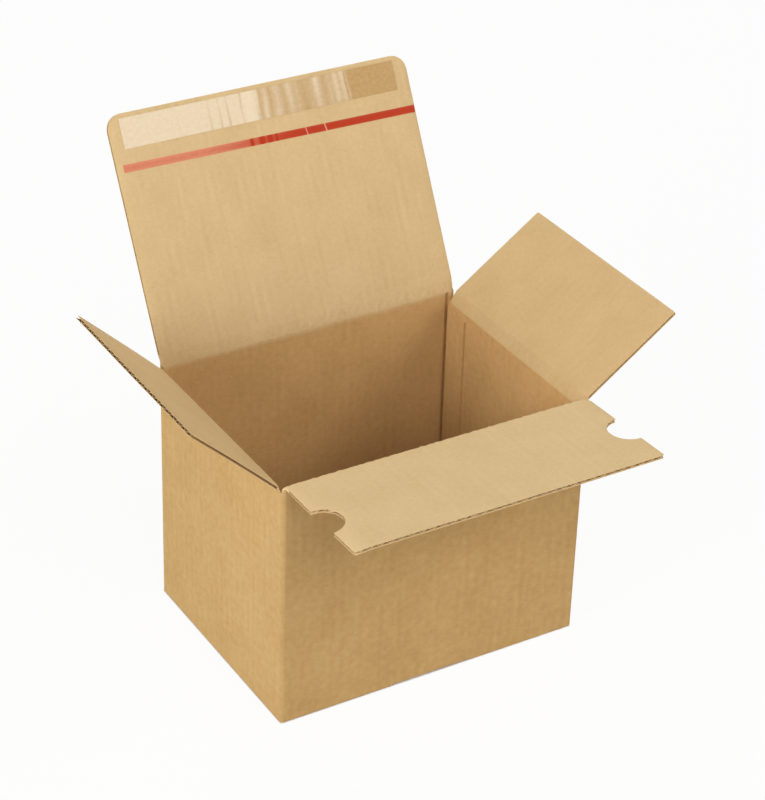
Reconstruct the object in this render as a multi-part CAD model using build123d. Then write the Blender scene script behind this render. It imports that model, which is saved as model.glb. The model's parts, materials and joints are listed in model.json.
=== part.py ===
from build123d import *

import os
from math import floor

# Shipping carton of single-wall corrugated board, open, standing on its base.
# Millimetres. +X runs along the front wall, +Y from the front wall to the back wall, +Z up.
# The origin is the centre of the underside. The lid hangs on the back wall.

# Carton, outside
box_length = 200.0
box_width = 150.0
front_crease_height = 158.5
board_thickness = 3.0

# Section of the board: two flat liners and a wavy medium between them
flute_pitch = 6.4
liner_thickness = 0.4
medium_thickness = 0.4
flute_land = 1.0
flute_side_margin = 1.6
flute_end_margin = 1.5

# Crushed creases at the top of the walls
lip_thickness = 0.6
crease_gap = 0.4
closing_clearance = 0.3
stacking_clearance = 0.4

# Vertical folds, the foot of the walls, and the plain board left under the sloped wall tops
fold_radius = 2.4
inner_fold_radius = 0.8
foot_radius = 1.2
plain_top_depth = 1.0

# Flaps: depth from the crease to the outer edge, and how much shorter than the box each is
lid_depth = 144.0
side_flap_depth = 74.2
front_flap_depth = 74.8
lid_end_clearance = 0.2
front_flap_end_clearance = 1.4
side_flap_end_clearance = 0.6
lid_corner_radius = 10.0

# Part-round finger notches in the two ends of the front flap
notch_radius = 12.2
notch_reach = 12.2
notch_crease_distance = 40.5

# How far each flap stands open past upright, in degrees
lid_angle = 28.0
left_flap_angle = 46.4
right_flap_angle = 54.5
front_flap_angle = 87.5

# Closing strip and tear tape on the inside of the lid
liner_width = 18.0
liner_overhang = 0.5
strip_edge_distance = 1.8
strip_left_margin = 7.5
strip_right_margin = 9.5
adhesive_thickness = 0.2
release_liner_thickness = 0.15
tear_tape_width = 4.6
tear_tape_thickness = 0.2
tear_tape_edge_distance = 32.8
tear_tape_left_margin = 4.2
tear_tape_right_margin = 0.6

# Glue joint inside the back right corner
glue_tab_width = 20.0
glue_tab_thickness = 1.6
glue_tab_bevel = 3.0
glue_tab_end_gap = 0.6
glue_fold_radius = 1.5

# Glued self-locking base: two long panels with a hooked seam, two side panels above them
base_seam_gap = 1.0
base_seam_offset = 8.0
base_hook_reach = 13.0
base_hook_shift = 20.0
base_panel_clearance = 1.0
side_panel_depth = 70.0
side_panel_taper = 16.0
score_width = 1.4
score_depth = 0.6
foot_slot_length = 54.0
foot_slot_height = 1.4

# Derived places. Each flap turns about the middle of the crushed lip at the outer face of its wall.
inner_half_length = box_length / 2 - board_thickness
inner_half_width = box_width / 2 - board_thickness
half_lip = lip_thickness / 2
inner_face = half_lip - board_thickness
groove_depth = board_thickness - lip_thickness
nose_height = lip_thickness + crease_gap
plate_start = nose_height + groove_depth
wall_slope_top = half_lip + closing_clearance
wall_slope_foot = wall_slope_top + groove_depth
floor_height = 2 * board_thickness

# The creases step up so that the closed flaps stack: sides first, then the front, then the lid.
board_step = board_thickness + stacking_clearance
strip_stack = adhesive_thickness + release_liner_thickness
side_crease_height = front_crease_height - board_step
lid_crease_height = front_crease_height + board_step + strip_stack
ring_height = side_crease_height - wall_slope_foot - plain_top_depth

lid_length = box_length - 2 * lid_end_clearance
front_flap_length = box_length - 2 * front_flap_end_clearance
side_flap_length = 2 * (inner_half_width - side_flap_end_clearance)


def crease_at(outward: Vector, wall_distance: float, height: float) -> Plane:
    """Return the plane of a crease: X along it, Y up the closed wall, Z out of the box."""
    origin = outward * (wall_distance - half_lip) + Vector(0, 0, height)
    return Plane(origin=origin, x_dir=Vector(0, 0, 1).cross(outward), z_dir=outward)


def lip_prism(outline: list[tuple[float, float]], tip: float, length: float) -> Part:
    """Extrude a board section along its crease.

    The outline runs from the outer to the inner side of the lip, as (up, outward) pairs.
    An arc over the tip closes it, which gives the lip its round end.
    """
    sides = Polyline(*outline)
    round_end = ThreePointArc(outline[-1], (tip, 0), outline[0])
    face = Plane.YZ * make_face(Curve() + [sides, round_end])
    return extrude(face, amount=length / 2, both=True)


def wall_top(height: float, length: float) -> Part:
    """Top of a wall: full board that slopes in to a thin lip, ending in a bead on the crease."""
    foot = ring_height - height
    outline = [
        (0, half_lip),
        (foot, half_lip),
        (foot, inner_face),
        (-wall_slope_foot, inner_face),
        (-wall_slope_top, -half_lip),
        (0, -half_lip),
    ]
    return lip_prism(outline, half_lip, length)


def flat_flap(depth: float, length: float) -> Part:
    """A flap before its flutes are opened: a thin round nose at the crease, then full board."""
    outline = [
        (nose_height, half_lip),
        (depth, half_lip),
        (depth, inner_face),
        (plate_start, inner_face),
        (nose_height, -half_lip),
    ]
    return lip_prism(outline, nose_height - half_lip, length)


def flute_hollows(depth: float, length: float) -> Part:
    """Hollows on both sides of the wavy medium, from the crease zone out through the edge."""
    half_pitch = flute_pitch / 2
    half_base = half_pitch - flute_land / 2
    half_tip = (flute_land - medium_thickness) / 2
    outer_base = half_lip - liner_thickness
    inner_base = inner_face + liner_thickness
    reach = floor((length / 2 - flute_side_margin - half_base) / half_pitch)
    hollows = []
    for step in range(-reach, reach + 1):
        centre = step * half_pitch
        opens_outward = step % 2 == 0
        base = outer_base if opens_outward else inner_base
        tip = inner_base + medium_thickness if opens_outward else outer_base - medium_thickness
        corners = [
            (centre - half_base, base),
            (centre + half_base, base),
            (centre + half_tip, tip),
            (centre - half_tip, tip),
        ]
        hollows.append(make_face(Polyline(*corners, close=True)))
    start = plate_start + flute_end_margin
    across_flutes = Plane.XZ.offset(-start)
    return extrude(across_flutes * (Sketch() + hollows), amount=-(depth - start + flute_end_margin))


def fluted_flap(depth: float, length: float, corner_radius: float = 0.0) -> Part:
    """A flap of true corrugated section, with its outer corners rounded if a radius is given."""
    plate = flat_flap(depth, length)
    if corner_radius > 0:
        corners = plate.edges().filter_by(Axis.Z).sort_by(Axis.Y)[-2:]
        plate = fillet(corners, corner_radius)
    return plate - flute_hollows(depth, length)


def notched_front_flap() -> Part:
    """Front flap with a part-round finger notch in each end."""
    centre = front_flap_length / 2 - notch_reach + notch_radius
    cutter = Cylinder(notch_radius, 4 * board_thickness)
    plate = flat_flap(front_flap_depth, front_flap_length)
    for side in (-1, 1):
        plate -= Pos(side * centre, notch_crease_distance, 0) * cutter
    return plate - flute_hollows(front_flap_depth, front_flap_length)


def strip_on_lid(width: float, thickness: float, edge: float, left: float, right: float) -> Part:
    """A flat band on the inner face of the lid, placed by its distances from the lid's edges.

    Left and right are as seen from the front of the box, where the crease runs right to left.
    """
    length = lid_length - left - right
    band = Box(length, width, thickness, align=(Align.CENTER, Align.MAX, Align.MAX))
    return Pos((right - left) / 2, lid_depth - edge, inner_face) * band


def base_long_panel(hook_shift: float) -> Part:
    """Front long panel of the base, with half of the hooked seam and a scored corner."""
    end = inner_half_length - base_panel_clearance
    foot = -inner_half_width - board_thickness / 2
    half_gap = base_seam_gap / 2
    outline = [
        (-end, foot),
        (end, foot),
        (end, -base_seam_offset - half_gap),
        (hook_shift - base_hook_reach, -base_seam_offset - half_gap),
        (hook_shift + base_hook_reach, base_seam_offset - half_gap),
        (-end, base_seam_offset - half_gap),
    ]
    panel = extrude(make_face(Polyline(*outline, close=True)), amount=board_thickness)
    score_length = (inner_half_width + base_seam_offset) * 2**0.5
    score = Box(score_length, score_width, 2 * score_depth, align=(Align.MIN, Align.CENTER, Align.CENTER))
    return panel - Pos(-end, -inner_half_width, 0) * Rot(Z=45) * score


def base_side_panel() -> Part:
    """Left side panel of the base, lying on the long panels, narrower towards the middle."""
    wide = inner_half_width - base_panel_clearance
    narrow = wide - side_panel_taper
    wall = -inner_half_length - board_thickness / 2
    inner = -inner_half_length + side_panel_depth
    outline = [(wall, -wide), (inner, -narrow), (inner, narrow), (wall, wide)]
    panel = extrude(make_face(Polyline(*outline, close=True)), amount=board_thickness)
    return Pos(0, 0, board_thickness) * panel


def glue_tab() -> Part:
    """Crushed tab of the back wall, glued to the inside of the right wall, with bevelled ends."""
    foot = floor_height + glue_tab_end_gap
    head = ring_height - glue_tab_end_gap
    edge = inner_half_width - glue_tab_width
    outline = [
        (inner_half_width, foot),
        (inner_half_width, head),
        (edge, head - glue_tab_bevel),
        (edge, foot + glue_tab_bevel),
    ]
    sheet = extrude(Plane.YZ * make_face(Polyline(*outline, close=True)), amount=glue_tab_thickness)
    return Pos(inner_half_length - glue_tab_thickness, 0, 0) * sheet


def folded_outline(height: float) -> Part:
    """The outside of the box as a prism, with its rounded vertical folds."""
    return extrude(RectangleRounded(box_length, box_width, fold_radius), amount=height)


def wall_ring() -> Part:
    """The four walls up to where their tops differ, with rounded vertical folds and foot."""
    outside = folded_outline(ring_height)
    outside = fillet(outside.faces().sort_by(Axis.Z)[0].edges(), foot_radius)
    inside = RectangleRounded(2 * inner_half_length, 2 * inner_half_width, inner_fold_radius)
    return outside - extrude(inside, amount=ring_height)


def box_body() -> Part:
    """Walls, crease lips, glue joint and glued base: the one folded sheet without its flaps."""
    body = wall_ring()
    outline = folded_outline(lid_crease_height + board_thickness)
    for crease, height in ((front_crease, front_crease_height), (lid_crease, lid_crease_height)):
        body += outline & (crease.location * wall_top(height, box_length))
    for crease in (left_crease, right_crease):
        body += crease.location * wall_top(side_crease_height, 2 * inner_half_width)
    for turn, hook_shift in ((0, base_hook_shift), (180, -base_hook_shift)):
        body += Rot(Z=turn) * base_long_panel(hook_shift)
        body += Rot(Z=turn) * base_side_panel()
    body += glue_tab()
    fold = Cylinder(glue_fold_radius, lid_crease_height, align=(Align.CENTER, Align.CENTER, Align.MIN))
    body -= Pos(inner_half_length - glue_tab_thickness, inner_half_width, floor_height) * fold
    slot = Box(foot_slot_length, 2 * board_thickness, 2 * foot_slot_height)
    return body - Pos(0, -box_width / 2, 0) * slot


front_crease = crease_at(Vector(0, -1, 0), box_width / 2, front_crease_height)
lid_crease = crease_at(Vector(0, 1, 0), box_width / 2, lid_crease_height)
left_crease = crease_at(Vector(-1, 0, 0), box_length / 2, side_crease_height)
right_crease = crease_at(Vector(1, 0, 0), box_length / 2, side_crease_height)

lid = lid_crease.location * Rot(X=lid_angle)
side_flap = fluted_flap(side_flap_depth, side_flap_length)
parts = {
    "box_body": box_body(),
    "lid_flap": lid * fluted_flap(lid_depth, lid_length, lid_corner_radius),
    "left_flap": left_crease.location * Rot(X=left_flap_angle) * side_flap,
    "right_flap": right_crease.location * Rot(X=right_flap_angle) * side_flap,
    "front_flap": front_crease.location * Rot(X=front_flap_angle) * notched_front_flap(),
    "adhesive_strip": lid
    * strip_on_lid(
        liner_width - 2 * liner_overhang,
        adhesive_thickness,
        strip_edge_distance + liner_overhang,
        strip_left_margin + liner_overhang,
        strip_right_margin + liner_overhang,
    ),
    "release_liner": lid
    * Pos(0, 0, -adhesive_thickness)
    * strip_on_lid(
        liner_width,
        release_liner_thickness,
        strip_edge_distance,
        strip_left_margin,
        strip_right_margin,
    ),
    "tear_tape": lid
    * strip_on_lid(
        tear_tape_width,
        tear_tape_thickness,
        tear_tape_edge_distance - tear_tape_width / 2,
        tear_tape_left_margin,
        tear_tape_right_margin,
    ),
}

os.makedirs("parts", exist_ok=True)
for name, part in parts.items():
    export_step(part, f"parts/{name}.step")
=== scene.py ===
"""An open shipping carton of kraft corrugated board, with the looks of its paper, film and adhesive.

The four flaps are true corrugated board, with crushed creases that bend where they fold. The closing
strip with its wrinkled release liner and the tear tape lie on the inside of the lid.
"""

import json
import logging
import math
from dataclasses import dataclass, field, replace
from enum import Enum
from typing import Any

import bmesh
import bpy
import numpy as np
from mathutils import Matrix, Vector


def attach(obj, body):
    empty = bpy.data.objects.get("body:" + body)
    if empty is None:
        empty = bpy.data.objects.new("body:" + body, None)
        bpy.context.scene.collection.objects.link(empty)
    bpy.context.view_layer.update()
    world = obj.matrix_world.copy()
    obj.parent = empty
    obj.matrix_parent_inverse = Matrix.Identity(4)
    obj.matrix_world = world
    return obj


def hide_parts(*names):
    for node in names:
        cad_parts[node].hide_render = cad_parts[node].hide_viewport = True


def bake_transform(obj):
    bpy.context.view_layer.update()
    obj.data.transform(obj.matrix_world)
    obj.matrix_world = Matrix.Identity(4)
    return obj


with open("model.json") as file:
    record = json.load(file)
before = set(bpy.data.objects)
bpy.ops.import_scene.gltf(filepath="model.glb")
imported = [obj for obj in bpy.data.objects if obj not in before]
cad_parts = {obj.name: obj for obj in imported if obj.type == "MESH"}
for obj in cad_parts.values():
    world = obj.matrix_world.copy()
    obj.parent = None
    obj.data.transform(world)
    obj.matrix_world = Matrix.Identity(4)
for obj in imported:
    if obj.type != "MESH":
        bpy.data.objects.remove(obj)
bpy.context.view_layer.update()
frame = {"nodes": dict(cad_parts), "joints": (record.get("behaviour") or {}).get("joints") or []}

log = logging.getLogger("carton")

MM = 0.001

# Names of the map of the flat blank, and of the shares that are stored at the points of a film
BLANK_MAP = "Blank"
# The first share is partly painted highlight: a reflection on the release film, a bright rim on the tear
# tape.
WHITENING_AND_HIGHLIGHT_SHARE = "lift"
WEAR_SHARE = "wear"

# Outside of the box in plan, in millimetres
CARTON_LENGTH = 200.0
CARTON_WIDTH = 150.0

# Section of the board in millimetres, measured outward from the crease line
BOARD_THICKNESS = 3.0
OUTER_FACE = 0.3
INNER_FACE = OUTER_FACE - BOARD_THICKNESS
LINER_THICKNESS = 0.34
FLUTE_PITCH = 6.4

# Where the plate of a flap starts, in millimetres away from its crease
PLATE_START = 3.4

# The average of a cloudy pattern
CLOUD_MIDDLE = 0.5

# How far a wave pattern of scale 1 runs before it repeats
WAVE_PERIOD = math.pi / 10


def linear(code: str) -> tuple[float, float, float, float]:
    """Turn an sRGB hex colour into the linear values that a shader takes.

    Args:
        code: The colour as "#RRGGBB".

    Returns:
        Linear red, green and blue, and an alpha of 1.
    """
    channels = [int(code[i : i + 2], 16) / 255 for i in (1, 3, 5)]
    values = [c / 12.92 if c <= 0.04045 else ((c + 0.055) / 1.055) ** 2.4 for c in channels]
    return (values[0], values[1], values[2], 1.0)


def add_node(
    tree: bpy.types.NodeTree,
    kind: str,
    settings: dict[str | int, Any] | None = None,
    links: dict[str | int, bpy.types.NodeSocket] | None = None,
) -> bpy.types.Node:
    """Add a node with its settings and links.

    Args:
        tree: The node tree that gets the node.
        kind: The node's type.
        settings: Values by the name of a property, or by the name or number of an input.
        links: The sockets that feed the node, by the name or number of its input.

    Returns:
        The new node.
    """
    node = tree.nodes.new(kind)
    for key, value in (settings or {}).items():
        if isinstance(key, str) and hasattr(node, key):
            setattr(node, key, value)
        else:
            node.inputs[key].default_value = value
    for key, source in (links or {}).items():
        tree.links.new(source, node.inputs[key])
    return node


def smooth_step(value: np.ndarray, low: float, high: float) -> np.ndarray:
    """Rise smoothly from 0 at low to 1 at high.

    Args:
        value: Where to read the step.
        low: Where the step starts.
        high: Where the step ends.

    Returns:
        The share at each value.
    """
    share = np.clip((value - low) / (high - low), 0.0, 1.0)
    return share * share * (3.0 - 2.0 * share)


def up_to(value: np.ndarray, limit: float, blur: float) -> np.ndarray:
    """Fall smoothly from 1 to 0 at a limit.

    Args:
        value: Where to read the step.
        limit: Where the step has fallen half way.
        blur: How far to each side of the limit it reaches.

    Returns:
        The share at each value.
    """
    return 1.0 - smooth_step(value, limit - blur, limit + blur)


def bell(value: np.ndarray, middle: float, width: float) -> np.ndarray:
    """Rise to 1 at the middle and fall off on both sides.

    Args:
        value: Where to read the bell.
        middle: Where its top is.
        width: How wide it is where it has fallen to about a third.

    Returns:
        The share at each value.
    """
    return np.exp(-(((value - middle) / (width / 2)) ** 2))


class Coordinates(Enum):
    """What a paper pattern is measured on."""

    BLANK = "flat blank of the flap"
    WALLS = "standing walls"


class Sheet(Enum):
    """Material slots of a piece of board."""

    INNER = 0
    OUTER = 1
    CUT = 2
    FLUTING = 3


class Paper(Enum):
    """The papers that the box is made of."""

    OUTER = "outer liner"
    INNER = "inner liner"
    PLAIN_INNER = "inner liner that hides its flutes"
    # A browner copy of the inner liner, which paints shade on the side flaps
    BROWN_INNER = "browner inner liner"
    WALLS = "liners of the standing walls"
    CUT = "cut liner"
    FLUTING = "fluting"


class Side(Enum):
    """The two ends of the box that carry a side flap."""

    LEFT = "left"
    RIGHT = "right"


@dataclass(frozen=True)
class Finish:
    """A material under its real name, with the surface that each kind of finish adds."""

    name: str

    def surface(self, tree: bpy.types.NodeTree) -> bpy.types.Node:
        """Add the nodes of the finish.

        Args:
            tree: The material's nodes.

        Returns:
            The shader of the surface.
        """
        raise NotImplementedError

    def build(self) -> bpy.types.Material:
        """Make the material.

        Returns:
            The material with its surface.
        """
        material = bpy.data.materials.new(self.name)
        material.use_nodes = True
        tree = material.node_tree
        tree.nodes.clear()
        shader = self.surface(tree)
        add_node(tree, "ShaderNodeOutputMaterial", links={"Surface": shader.outputs[0]})
        return material


@dataclass(frozen=True)
class Specks:
    """Bits in the paper, with their spacing and radius in millimetres and their strength."""

    colour: str
    spacing: float
    radius: float
    strength: float
    # Share of the radius that has the full strength
    core: float = 0.4


@dataclass(frozen=True)
class KraftLiner(Finish):
    """Unbleached kraft liner, made on a paper machine and glued to the flutes.

    It gives the eye a matt tan with cloudy formation, long fibres that lie across the flutes, dark
    shives, pale flecks, and faint bands where the flutes show through. On the standing walls the side
    that faces into the box gets the inner liner's colours, darkened with painted shade from just under
    the creases downward. Sizes are in millimetres.
    """

    pale: str
    deep: str
    shives: Specks
    coordinates: Coordinates
    seed: float
    inner_pale: str = ""
    inner_deep: str = ""
    # Inside the box the paper is darkened with painted shade, from just under the creases downward.
    painted_shade_tint: str = "#F1DFC6"
    painted_shade_start: float = 160.5
    painted_shade_reach: float = 5.0
    cloud_size: float = 22.0
    mottle_size: float = 2.4
    # Real fibres are about 3 mm by 0.03 mm. They are drawn 0.7 mm wide, so that they show.
    fibre_length: float = 5.0
    fibre_width: float = 0.7
    cloud_weight: float = 0.5
    mottle_weight: float = 0.5
    fibre_weight: float = 0.45
    # The flutes show through in patches, where a cloudy pattern rises through these levels.
    ghost_weight: float = 0.11
    ghost_patch_length: float = 35.2
    ghost_levels: tuple[float, float] = (0.44, 0.66)
    flecks: Specks = Specks("#F3E4C4", 8.5, 0.42, 0.55)
    fleck_shift: tuple[float, float, float] = (0.37, 0.11, 0.53)
    fibre_height: float = 0.025
    mottle_height_share: float = 0.8
    ghost_height: float = 0.03
    roughness: float = 0.86
    diffuse_roughness: float = 0.6
    specular: float = 0.22
    # A wall faces along the box where its normal leans further than this towards the long axis.
    end_wall_normal: float = 0.7

    def position(self, tree: bpy.types.NodeTree) -> tuple[bpy.types.NodeSocket, bpy.types.NodeSocket]:
        """Find the place on the paper.

        Args:
            tree: The material's nodes.

        Returns:
            The place in metres, with the flutes along its last axis, and the distance across the
            flutes.
        """
        if self.coordinates is Coordinates.BLANK:
            flat = add_node(tree, "ShaderNodeUVMap", {"uv_map": BLANK_MAP})
            parts = add_node(tree, "ShaderNodeSeparateXYZ", links={0: flat.outputs["UV"]})
            place = add_node(
                tree,
                "ShaderNodeCombineXYZ",
                {"Y": self.seed},
                {"X": parts.outputs["X"], "Z": parts.outputs["Y"]},
            )
            return place.outputs[0], parts.outputs["X"]
        standing = add_node(tree, "ShaderNodeTexCoord")
        parts = add_node(tree, "ShaderNodeSeparateXYZ", links={0: standing.outputs["Object"]})
        facing = add_node(tree, "ShaderNodeSeparateXYZ", links={0: standing.outputs["Normal"]})
        sideways = add_node(tree, "ShaderNodeMath", {"operation": "ABSOLUTE"}, {0: facing.outputs["X"]})
        on_end = add_node(
            tree,
            "ShaderNodeMath",
            {"operation": "GREATER_THAN", 1: self.end_wall_normal},
            {0: sideways.outputs[0]},
        )
        across = add_node(
            tree,
            "ShaderNodeMix",
            {"data_type": "FLOAT"},
            {0: on_end.outputs[0], 2: parts.outputs["X"], 3: parts.outputs["Y"]},
        )
        return standing.outputs["Object"], across.outputs[0]

    def pattern(
        self,
        tree: bpy.types.NodeTree,
        place: bpy.types.NodeSocket,
        size: tuple[float, float, float],
        detail: float,
    ) -> bpy.types.NodeSocket:
        """Add a cloudy pattern whose features have a given size.

        Args:
            tree: The material's nodes.
            place: The place on the paper in metres.
            size: Feature size in millimetres along each axis.
            detail: How many finer layers lie on the pattern.

        Returns:
            The pattern, about 0.5 on average.
        """
        scale = tuple(1.0 / (length * MM) for length in size)
        mapped = add_node(tree, "ShaderNodeMapping", {"Scale": scale}, {"Vector": place})
        noise = add_node(
            tree,
            "ShaderNodeTexNoise",
            {"Scale": 1.0, "Detail": detail, "Roughness": 0.55},
            {"Vector": mapped.outputs[0]},
        )
        return noise.outputs[0]

    def weighted(
        self, tree: bpy.types.NodeTree, terms: list[tuple[bpy.types.NodeSocket, float, float]]
    ) -> bpy.types.NodeSocket:
        """Add up patterns, each about its own middle.

        Args:
            tree: The material's nodes.
            terms: Each pattern with its middle value and its weight.

        Returns:
            0.5 plus the weighted sum.
        """
        total = None
        for source, middle, weight in terms:
            offset = (0.5 if total is None else 0.0) - middle * weight
            term = add_node(
                tree, "ShaderNodeMath", {"operation": "MULTIPLY_ADD", 1: weight, 2: offset}, {0: source}
            )
            if total is not None:
                term = add_node(tree, "ShaderNodeMath", {"operation": "ADD"}, {0: term.outputs[0], 1: total})
            total = term.outputs[0]
        return total

    def inside(self, tree: bpy.types.NodeTree, place: bpy.types.NodeSocket) -> bpy.types.NodeSocket:
        """Find the faces that look into the box.

        Args:
            tree: The material's nodes.
            place: The place in the frame of the object, in metres.

        Returns:
            1 where the paper lies further in than the middle of the walls and base, else 0.
        """
        parts = add_node(tree, "ShaderNodeSeparateXYZ", links={0: place})
        half_board = BOARD_THICKNESS / 2
        tests = []
        for axis, limit in (("X", CARTON_LENGTH / 2), ("Y", CARTON_WIDTH / 2)):
            reach = (limit - half_board) * MM
            size = add_node(tree, "ShaderNodeMath", {"operation": "ABSOLUTE"}, {0: parts.outputs[axis]})
            tests.append(("LESS_THAN", reach, size.outputs[0]))
        tests.append(("GREATER_THAN", half_board * MM, parts.outputs["Z"]))
        share = None
        for test, limit, source in tests:
            within = add_node(tree, "ShaderNodeMath", {"operation": test, 1: limit}, {0: source})
            if share is not None:
                both = {0: within.outputs[0], 1: share}
                within = add_node(tree, "ShaderNodeMath", {"operation": "MULTIPLY"}, both)
            share = within.outputs[0]
        return share

    def lined(
        self,
        tree: bpy.types.NodeTree,
        place: bpy.types.NodeSocket,
        tone: bpy.types.NodeSocket,
        outside: bpy.types.NodeSocket,
    ) -> bpy.types.NodeSocket:
        """Give the faces that look into the box the inner liner's colours, with painted shade from just
        under the creases downward.

        Args:
            tree: The material's nodes.
            place: The place in the frame of the object, in metres.
            tone: The paper's tone.
            outside: The paper's colour on the outside of the box.

        Returns:
            The paper's colour on both sides.
        """
        lining = add_node(
            tree,
            "ShaderNodeMix",
            {"data_type": "RGBA", 6: linear(self.inner_deep), 7: linear(self.inner_pale)},
            {0: tone},
        )
        parts = add_node(tree, "ShaderNodeSeparateXYZ", links={0: place})
        top = self.painted_shade_start * MM
        bottom = top - self.painted_shade_reach * MM
        # Painted shade: inside the box the lining darkens from just under the creases downward.
        down = add_node(
            tree,
            "ShaderNodeMapRange",
            {"interpolation_type": "SMOOTHSTEP", 1: top, 2: bottom, 3: 0.0, 4: 1.0},
            {0: parts.outputs["Z"]},
        )
        shaded_lining = add_node(
            tree,
            "ShaderNodeMix",
            {"data_type": "RGBA", "blend_type": "MULTIPLY", 7: linear(self.painted_shade_tint)},
            {0: down.outputs[0], 6: lining.outputs[2]},
        )
        sides = add_node(
            tree,
            "ShaderNodeMix",
            {"data_type": "RGBA"},
            {0: self.inside(tree, place), 6: outside, 7: shaded_lining.outputs[2]},
        )
        return sides.outputs[2]

    def flute_ghost(
        self, tree: bpy.types.NodeTree, place: bpy.types.NodeSocket, across: bpy.types.NodeSocket
    ) -> tuple[bpy.types.NodeSocket, bpy.types.NodeSocket]:
        """Let the flutes show through the liner.

        Args:
            tree: The material's nodes.
            place: The place on the paper in metres.
            across: The distance across the flutes.

        Returns:
            A wave from -1 to 1 with the pitch of the flutes, and the same wave in patches.
        """
        turn = 2 * math.pi / (FLUTE_PITCH * MM)
        phase = add_node(tree, "ShaderNodeMath", {"operation": "MULTIPLY", 1: turn}, {0: across})
        ghost = add_node(tree, "ShaderNodeMath", {"operation": "COSINE"}, {0: phase.outputs[0]})
        patch_size = (FLUTE_PITCH, FLUTE_PITCH, self.ghost_patch_length)
        patches = self.pattern(tree, place, patch_size, detail=1.0)
        low, high = self.ghost_levels
        uneven = add_node(
            tree,
            "ShaderNodeMapRange",
            {"interpolation_type": "SMOOTHSTEP", 1: low, 2: high, 3: 0.0, 4: 1.0},
            {0: patches},
        )
        both = {0: ghost.outputs[0], 1: uneven.outputs[0]}
        streaks = add_node(tree, "ShaderNodeMath", {"operation": "MULTIPLY"}, both)
        return ghost.outputs[0], streaks.outputs[0]

    def speckled(
        self,
        tree: bpy.types.NodeTree,
        place: bpy.types.NodeSocket,
        colour: bpy.types.NodeSocket,
        specks: Specks,
    ) -> bpy.types.NodeSocket:
        """Scatter specks over the paper.

        Args:
            tree: The material's nodes.
            place: The place on the paper in metres.
            colour: The paper's colour.
            specks: The specks.

        Returns:
            The colour with the specks.
        """
        cells = add_node(
            tree,
            "ShaderNodeTexVoronoi",
            {"Scale": 1.0 / (specks.spacing * MM), "Randomness": 1.0},
            {"Vector": place},
        )
        rim = specks.radius / specks.spacing
        core = rim * specks.core
        share = add_node(
            tree,
            "ShaderNodeMapRange",
            {"interpolation_type": "SMOOTHSTEP", 1: rim, 2: core, 3: 0.0, 4: specks.strength},
            {0: cells.outputs["Distance"]},
        )
        mixed = add_node(
            tree,
            "ShaderNodeMix",
            {"data_type": "RGBA", 7: linear(specks.colour)},
            {0: share.outputs[0], 6: colour},
        )
        return mixed.outputs[2]

    def surface(self, tree: bpy.types.NodeTree) -> bpy.types.Node:
        """Add the paper's formation, specks and relief.

        Args:
            tree: The material's nodes.

        Returns:
            The shader of the paper.
        """
        place, across = self.position(tree)
        cloud = self.pattern(tree, place, (self.cloud_size,) * 3, detail=2.0)
        mottle = self.pattern(tree, place, (self.mottle_size,) * 3, detail=2.0)
        fibre_size = (self.fibre_length, self.fibre_length, self.fibre_width)
        fibre = self.pattern(tree, place, fibre_size, detail=2.5)
        ghost, streaks = self.flute_ghost(tree, place, across)
        tone = self.weighted(
            tree,
            [
                (cloud, CLOUD_MIDDLE, self.cloud_weight),
                (mottle, CLOUD_MIDDLE, self.mottle_weight),
                (fibre, CLOUD_MIDDLE, self.fibre_weight),
                (streaks, 0.0, self.ghost_weight),
            ],
        )
        paper = add_node(
            tree,
            "ShaderNodeMix",
            {"data_type": "RGBA", 6: linear(self.deep), 7: linear(self.pale)},
            {0: tone},
        )
        colour = paper.outputs[2]
        if self.inner_pale:
            colour = self.lined(tree, place, tone, colour)
        colour = self.speckled(tree, place, colour, self.shives)
        shifted = add_node(tree, "ShaderNodeMapping", {"Location": self.fleck_shift}, {"Vector": place})
        colour = self.speckled(tree, shifted.outputs[0], colour, self.flecks)
        height = self.weighted(
            tree,
            [
                (fibre, CLOUD_MIDDLE, self.fibre_height),
                (mottle, CLOUD_MIDDLE, self.fibre_height * self.mottle_height_share),
                (ghost, 0.0, self.ghost_height / 2),
            ],
        )
        bump = add_node(tree, "ShaderNodeBump", {"Strength": 1.0, "Distance": MM}, {"Height": height})
        return add_node(
            tree,
            "ShaderNodeBsdfPrincipled",
            {
                "Roughness": self.roughness,
                "Specular IOR Level": self.specular,
                "Diffuse Roughness": self.diffuse_roughness,
            },
            {"Base Color": colour, "Normal": bump.outputs[0]},
        )


@dataclass(frozen=True)
class CutBoard(Finish):
    """Raw edge of a die-cut paper layer, sheared and a little torn, and the fluting behind it.

    It gives the eye a rough fibrous rim: pale at the liners, and a greyish brown at the recycled
    fluting between them, made darker as painted shade of the hollows. Sizes are in millimetres.
    """

    pale: str
    deep: str
    fibre_size: float = 0.8
    tear_height: float = 0.1
    roughness: float = 0.95
    specular: float = 0.1

    def surface(self, tree: bpy.types.NodeTree) -> bpy.types.Node:
        """Add the torn fibres.

        Args:
            tree: The material's nodes.

        Returns:
            The shader of the cut edge.
        """
        place = add_node(tree, "ShaderNodeTexCoord")
        noise = add_node(
            tree,
            "ShaderNodeTexNoise",
            {"Scale": 1.0 / (self.fibre_size * MM), "Detail": 3.0, "Roughness": 0.6},
            {"Vector": place.outputs["Object"]},
        )
        paper = add_node(
            tree,
            "ShaderNodeMix",
            {"data_type": "RGBA", 6: linear(self.deep), 7: linear(self.pale)},
            {0: noise.outputs[0]},
        )
        bump = add_node(
            tree,
            "ShaderNodeBump",
            {"Strength": 1.0, "Distance": self.tear_height * MM},
            {"Height": noise.outputs[0]},
        )
        return add_node(
            tree,
            "ShaderNodeBsdfPrincipled",
            {"Roughness": self.roughness, "Specular IOR Level": self.specular},
            {"Base Color": paper.outputs[2], "Normal": bump.outputs[0]},
        )


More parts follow.
